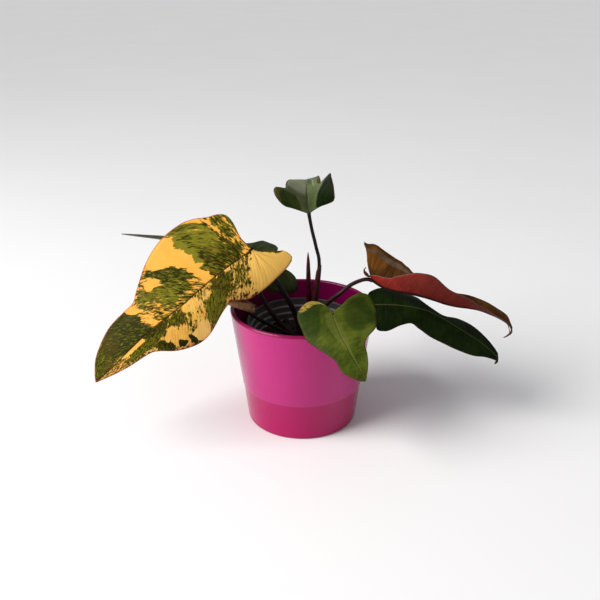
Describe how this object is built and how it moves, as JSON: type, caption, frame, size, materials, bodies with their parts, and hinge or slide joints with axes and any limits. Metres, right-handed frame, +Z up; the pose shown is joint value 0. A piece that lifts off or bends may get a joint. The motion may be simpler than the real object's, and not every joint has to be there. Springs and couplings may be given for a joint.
{
  "type": "potted philodendron",
  "caption": "Philodendron with variegated heart-shaped leaves on long arching stalks, in a plastic inner pot inside a glossy round outer pot.",
  "frame": {"origin": "the middle of the outer pot's flat underside", "axes": "+Z up along the pot's axis, -Y towards the front, where the front leaf hangs over the rim, +X to the right seen from the front; the leaves spread furthest along X"},
  "size_m": [0.4257, 0.2378, 0.2645],
  "materials": {
    "glaze": "gloss",
    "plastic": "satin",
    "soil": "matte",
    "crown": "satin",
    "variegated": "satin",
    "green": "satin",
    "dark": "satin",
    "bronze": "satin",
    "stalk": "satin",
    "sheath": "satin"
  },
  "bodies": {
    "root": {"cachepot": "glaze", "nursery_pot": "plastic", "potting_mix": "soil", "stem": "crown", "blade_left": "variegated", "blade_rear": "dark", "blade_top": "green", "blade_front": "green", "blade_red": "bronze", "blade_dark": "dark", "blade_rolled": "variegated", "petiole_left": "stalk", "petiole_rear": "stalk", "petiole_top": "stalk", "petiole_front": "stalk", "petiole_red": "stalk", "petiole_dark": "stalk", "petiole_rolled": "stalk", "new_leaf": "stalk", "sheath": "sheath"}
  },
  "joints": []
}
